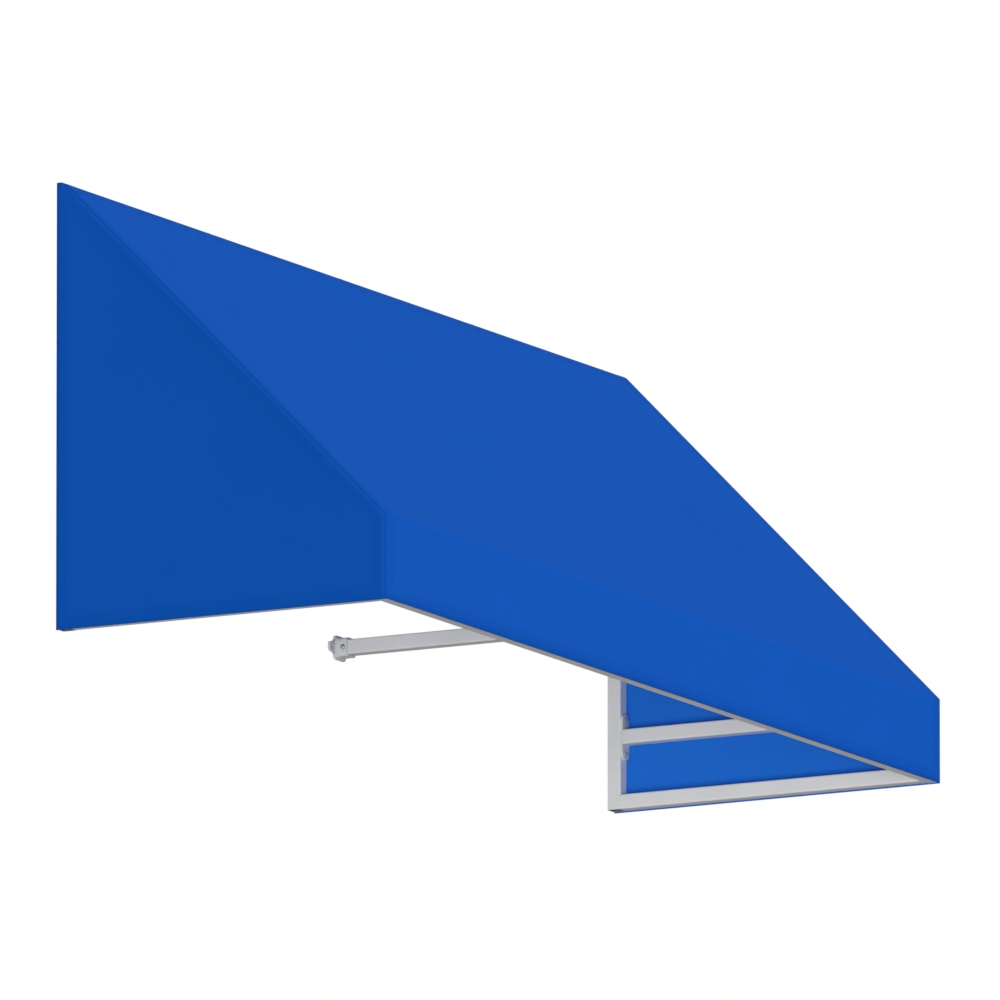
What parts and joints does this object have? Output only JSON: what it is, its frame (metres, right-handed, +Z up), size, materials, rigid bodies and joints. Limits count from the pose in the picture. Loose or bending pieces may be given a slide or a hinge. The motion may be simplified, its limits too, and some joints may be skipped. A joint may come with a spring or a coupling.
{
  "type": "fabric awning",
  "caption": "Fixed window awning: a canvas roof that slopes from the wall, a straight front drop and side wings, stretched over a frame of square tube.",
  "frame": {"origin": "centre of the bounding box in plan, at the lower edge of the cover", "axes": "+X along the width, +Y into the wall, +Z up; the wall is the plane at +Y"},
  "size_m": [1.946, 0.614, 0.746],
  "materials": {
    "frame_tube": "light grey satin powder coat",
    "cast_bracket": "light grey powder coat over a casting",
    "zinc_clip": "zinc plated strip",
    "zinc_screw": "zinc plated",
    "batten": "mill finish",
    "canvas": "woven blue acrylic canvas"
  },
  "bodies": {
    "root": {"batten_screw_1": "zinc_screw", "batten_screw_2": "zinc_screw", "batten_screw_3": "zinc_screw", "batten_screw_4": "zinc_screw", "batten_screw_5": "zinc_screw", "cover_left_wing": "canvas", "cover_main_panel": "canvas", "cover_right_wing": "canvas", "eave_rail": "frame_tube", "front_bottom_rail": "frame_tube", "header_tube": "frame_tube", "left_arm": "frame_tube", "left_arm_front_cross_screw": "zinc_screw", "left_arm_front_spigot": "cast_bracket", "left_arm_rear_cross_screw": "zinc_screw", "left_arm_rear_spigot": "cast_bracket", "left_bottom_tube": "frame_tube", "left_front_post": "frame_tube", "left_front_spigot_screw": "zinc_screw", "left_header_clip": "zinc_clip", "left_header_clip_screw": "zinc_screw", "left_rafter": "frame_tube", "left_rear_spigot_screw_high": "zinc_screw", "left_rear_spigot_screw_low": "zinc_screw", "left_upright": "frame_tube", "left_upright_clip": "zinc_clip", "left_upright_clip_screw": "zinc_screw", "middle_arm": "frame_tube", "middle_arm_front_cross_screw": "zinc_screw", "middle_arm_front_spigot": "cast_bracket", "middle_arm_wall_socket": "cast_bracket", "middle_front_post": "frame_tube", "middle_front_spigot_screw_left": "zinc_screw", "middle_front_spigot_screw_right": "zinc_screw", "middle_header_clip": "zinc_clip", "middle_header_clip_screw": "zinc_screw", "middle_rafter": "frame_tube", "right_arm": "frame_tube", "right_arm_front_cross_screw": "zinc_screw", "right_arm_front_spigot": "cast_bracket", "right_arm_rear_cross_screw": "zinc_screw", "right_arm_rear_spigot": "cast_bracket", "right_bottom_tube": "frame_tube", "right_front_post": "frame_tube", "right_front_spigot_screw": "zinc_screw", "right_header_clip": "zinc_clip", "right_header_clip_screw": "zinc_screw", "right_rafter": "frame_tube", "right_rear_spigot_screw_high": "zinc_screw", "right_rear_spigot_screw_low": "zinc_screw", "right_upright": "frame_tube", "right_upright_clip": "zinc_clip", "right_upright_clip_screw": "zinc_screw", "top_batten": "batten", "wall_socket_set_screw": "zinc_screw"}
  },
  "joints": []
}
